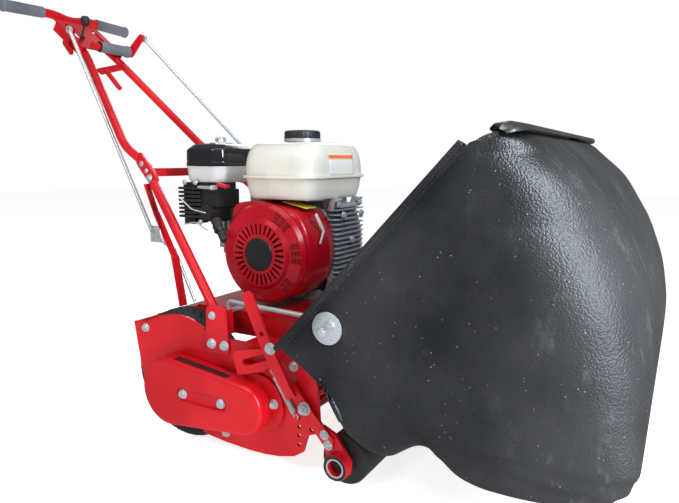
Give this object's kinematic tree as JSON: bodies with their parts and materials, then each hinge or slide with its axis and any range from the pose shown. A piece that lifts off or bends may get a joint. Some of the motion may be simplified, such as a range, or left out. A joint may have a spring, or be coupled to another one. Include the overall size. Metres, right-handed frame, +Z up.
{
  "type": "powered reel mower",
  "caption": "Walk-behind powered reel mower: red steel frame, horizontal-shaft petrol engine, tubular handle with clutch levers, front roller and a large black catcher.",
  "frame": {"origin": "middle of the bottom of the whole mower's box, on the ground", "axes": "+X forward towards the catcher, +Y to the operator's left, +Z up"},
  "size_m": [1.4182, 0.688, 0.9072],
  "materials": {
    "frame_red": "gloss powder coat",
    "engine_red": "gloss enamel",
    "tank_cream": "satin gloss",
    "zinc": "bright zinc plate",
    "blade_steel": "ground steel",
    "cast_aluminium": "cast",
    "black_plastic": "matt",
    "black_gloss": "gloss",
    "grey_plastic": "satin",
    "red_plastic": "gloss",
    "muffler_steel": "heat-dulled",
    "wheel_paint": "satin",
    "tyre": "matt rubber",
    "grip_rubber": "matt rubber",
    "belt_rubber": "matt rubber",
    "roller_black": "satin",
    "catcher_plastic": "pebbled satin"
  },
  "bodies": {
    "frame": {"side_plate_right": "frame_red", "side_plate_left": "frame_red", "engine_deck": "frame_red", "rear_cover": "frame_red", "front_cross_tube": "frame_red", "bed_knife": "blade_steel", "chain_cover": "frame_red", "drive_chain": "blade_steel", "handle_bracket_right": "frame_red", "handle_bracket_left": "frame_red", "lower_handle_right": "frame_red", "lower_handle_left": "frame_red", "upper_handle_right": "frame_red", "upper_handle_left": "frame_red", "handle_stay": "frame_red", "cross_brace": "frame_red", "top_strap": "frame_red", "handlebar": "frame_red", "grip_right": "grip_rubber", "grip_left": "grip_rubber", "console": "frame_red", "adjuster_bracket_right": "frame_red", "adjuster_bracket_left": "frame_red", "catcher_rod_right": "zinc", "catcher_rod_left": "zinc", "engine_block": "cast_aluminium", "fan_cover": "engine_red", "recoil_cover": "engine_red", "fuel_tank": "tank_cream", "air_cleaner_base": "grey_plastic", "carburettor": "black_plastic", "muffler": "muffler_steel", "drive_belt": "belt_rubber"},
    "wheel_right": {"wheel_hub_right": "wheel_paint", "tyre_right": "tyre"},
    "wheel_left": {"wheel_hub_left": "wheel_paint", "tyre_left": "tyre"},
    "drive_shaft": {"drive_shaft": "blade_steel"},
    "reel": {"reel_shaft": "blade_steel", "reel_blades": "frame_red"},
    "height_levers": {"height_lever_right": "frame_red", "height_lever_left": "frame_red"},
    "front_roller": {"front_roller": "roller_black"},
    "lever_spring": {"lever_spring": "zinc"},
    "crank": {"crank_pulley": "blade_steel"},
    "idler": {"idler_arm": "frame_red"},
    "reel_clutch_lever": {"clutch_lever_left": "frame_red"},
    "reel_clutch_rod": {"clutch_rod_left": "zinc"},
    "drive_clutch_lever": {"clutch_lever_right": "frame_red"},
    "drive_clutch_rod": {"clutch_rod_right": "zinc"},
    "drive_clutch_link": {"clutch_link_right": "zinc"},
    "throttle": {"throttle_lever": "black_plastic"},
    "starter_grip": {"starter_grip": "black_plastic"},
    "choke": {"choke_lever": "zinc"},
    "fuel_valve": {"fuel_lever": "red_plastic"},
    "fuel_cap": {"fuel_cap": "black_plastic"},
    "air_cleaner_cover": {"air_cleaner_cover": "black_gloss"},
    "catcher": {"catcher": "catcher_plastic", "hanger_disc_right": "zinc", "hanger_disc_left": "zinc"}
  },
  "joints": [
    {"name": "wheel_right_spin", "type": "hinge", "parent": "frame", "child": "wheel_right", "pos_m": [-0.08294, -0.2335, 0.12565], "axis": [0, 1, 0], "continuous": true},
    {"name": "wheel_left_spin", "type": "hinge", "parent": "frame", "child": "wheel_left", "pos_m": [-0.08294, 0.2335, 0.12565], "axis": [0, 1, 0], "continuous": true},
    {"name": "drive_shaft_spin", "type": "hinge", "parent": "frame", "child": "drive_shaft", "pos_m": [-0.08294, 0, 0.12565], "axis": [0, 1, 0], "continuous": true},
    {"name": "reel_spin", "type": "hinge", "parent": "frame", "child": "reel", "pos_m": [0.10706, 0, 0.11165], "axis": [0, 1, 0], "continuous": true},
    {"name": "height_adjust", "type": "hinge", "parent": "frame", "child": "height_levers", "pos_m": [0.20906, 0, 0.12665], "axis": [0, -1, 0], "range_deg": [0, 12]},
    {"name": "front_roller_spin", "type": "hinge", "parent": "height_levers", "child": "front_roller", "pos_m": [0.27106, 0, 0.04165], "axis": [0, 1, 0], "continuous": true},
    {"name": "lever_spring_swing", "type": "hinge", "parent": "frame", "child": "lever_spring", "pos_m": [0.18906, -0.2704, 0.10165], "axis": [0, -1, 0], "range_deg": [0, 11]},
    {"name": "crank_spin", "type": "hinge", "parent": "frame", "child": "crank", "pos_m": [0.03906, 0.1, 0.35565], "axis": [0, 1, 0], "continuous": true},
    {"name": "reel_clutch", "type": "hinge", "parent": "frame", "child": "reel_clutch_lever", "pos_m": [-0.55294, 0, 0.80765], "axis": [0, -1, 0], "range_deg": [0, 16]},
    {"name": "reel_clutch_rod_pin", "type": "hinge", "parent": "reel_clutch_lever", "child": "reel_clutch_rod", "pos_m": [-0.51394, 0.082, 0.84065], "axis": [0, -1, 0], "range_deg": [-18, 2]},
    {"name": "idler_swing", "type": "hinge", "parent": "frame", "child": "idler", "pos_m": [-0.08894, 0.173, 0.32165], "axis": [0, -1, 0], "range_deg": [-1, 16]},
    {"name": "drive_clutch", "type": "hinge", "parent": "frame", "child": "drive_clutch_lever", "pos_m": [-0.62594, -0.066, 0.81765], "axis": [0, -1, 0], "range_deg": [0, 20]},
    {"name": "drive_clutch_rod_pin", "type": "hinge", "parent": "drive_clutch_lever", "child": "drive_clutch_rod", "pos_m": [-0.59494, -0.076, 0.84265], "axis": [0, -1, 0], "range_deg": [-21, 1]},
    {"name": "drive_clutch_link_slide", "type": "slide", "parent": "frame", "child": "drive_clutch_link", "axis": [-0.4442, 0, 0.8959], "range_m": [-0.001, 0.015]},
    {"name": "throttle_swing", "type": "hinge", "parent": "frame", "child": "throttle", "pos_m": [-0.59871, -0.038, 0.83161], "axis": [0, 1, 0], "range_deg": [-35, 10]},
    {"name": "starter_pull", "type": "slide", "parent": "frame", "child": "starter_grip", "axis": [-0.7399, -0.3999, 0.5409], "range_m": [0, 0.35], "stiffness_N_per_m": 20, "springref_m": -0.1},
    {"name": "choke_swing", "type": "hinge", "parent": "frame", "child": "choke", "pos_m": [-0.10694, -0.13, 0.47565], "axis": [0, 1, 0], "range_deg": [-30, 0]},
    {"name": "fuel_valve_swing", "type": "hinge", "parent": "frame", "child": "fuel_valve", "pos_m": [-0.08094, -0.12, 0.47815], "axis": [0, 1, 0], "range_deg": [-35, 0]},
    {"name": "fuel_cap_turn", "type": "hinge", "parent": "frame", "child": "fuel_cap", "pos_m": [0.06706, -0.062, 0.5775], "axis": [0, 0, 1], "range_deg": [0, 90]},
    {"name": "air_cleaner_cover_lift", "type": "slide", "parent": "frame", "child": "air_cleaner_cover", "axis": [0, 0, 1], "range_m": [0, 0.08]},
    {"name": "catcher_slide", "type": "slide", "parent": "frame", "child": "catcher", "axis": [1, 0, 0], "range_m": [0, 0.3]}
  ],
  "couplings": [
    {"joint": "reel_spin", "follows": "drive_shaft_spin", "ratio": 1.8333},
    {"joint": "lever_spring_swing", "follows": "height_adjust", "ratio": 0.87},
    {"joint": "reel_clutch_rod_pin", "follows": "reel_clutch", "ratio": -1.006},
    {"joint": "idler_swing", "follows": "reel_clutch", "ratio": 0.901},
    {"joint": "drive_clutch_rod_pin", "follows": "drive_clutch", "ratio": -1},
    {"joint": "drive_clutch_link_slide", "follows": "drive_clutch", "m_per_rad": 0.0397}
  ]
}
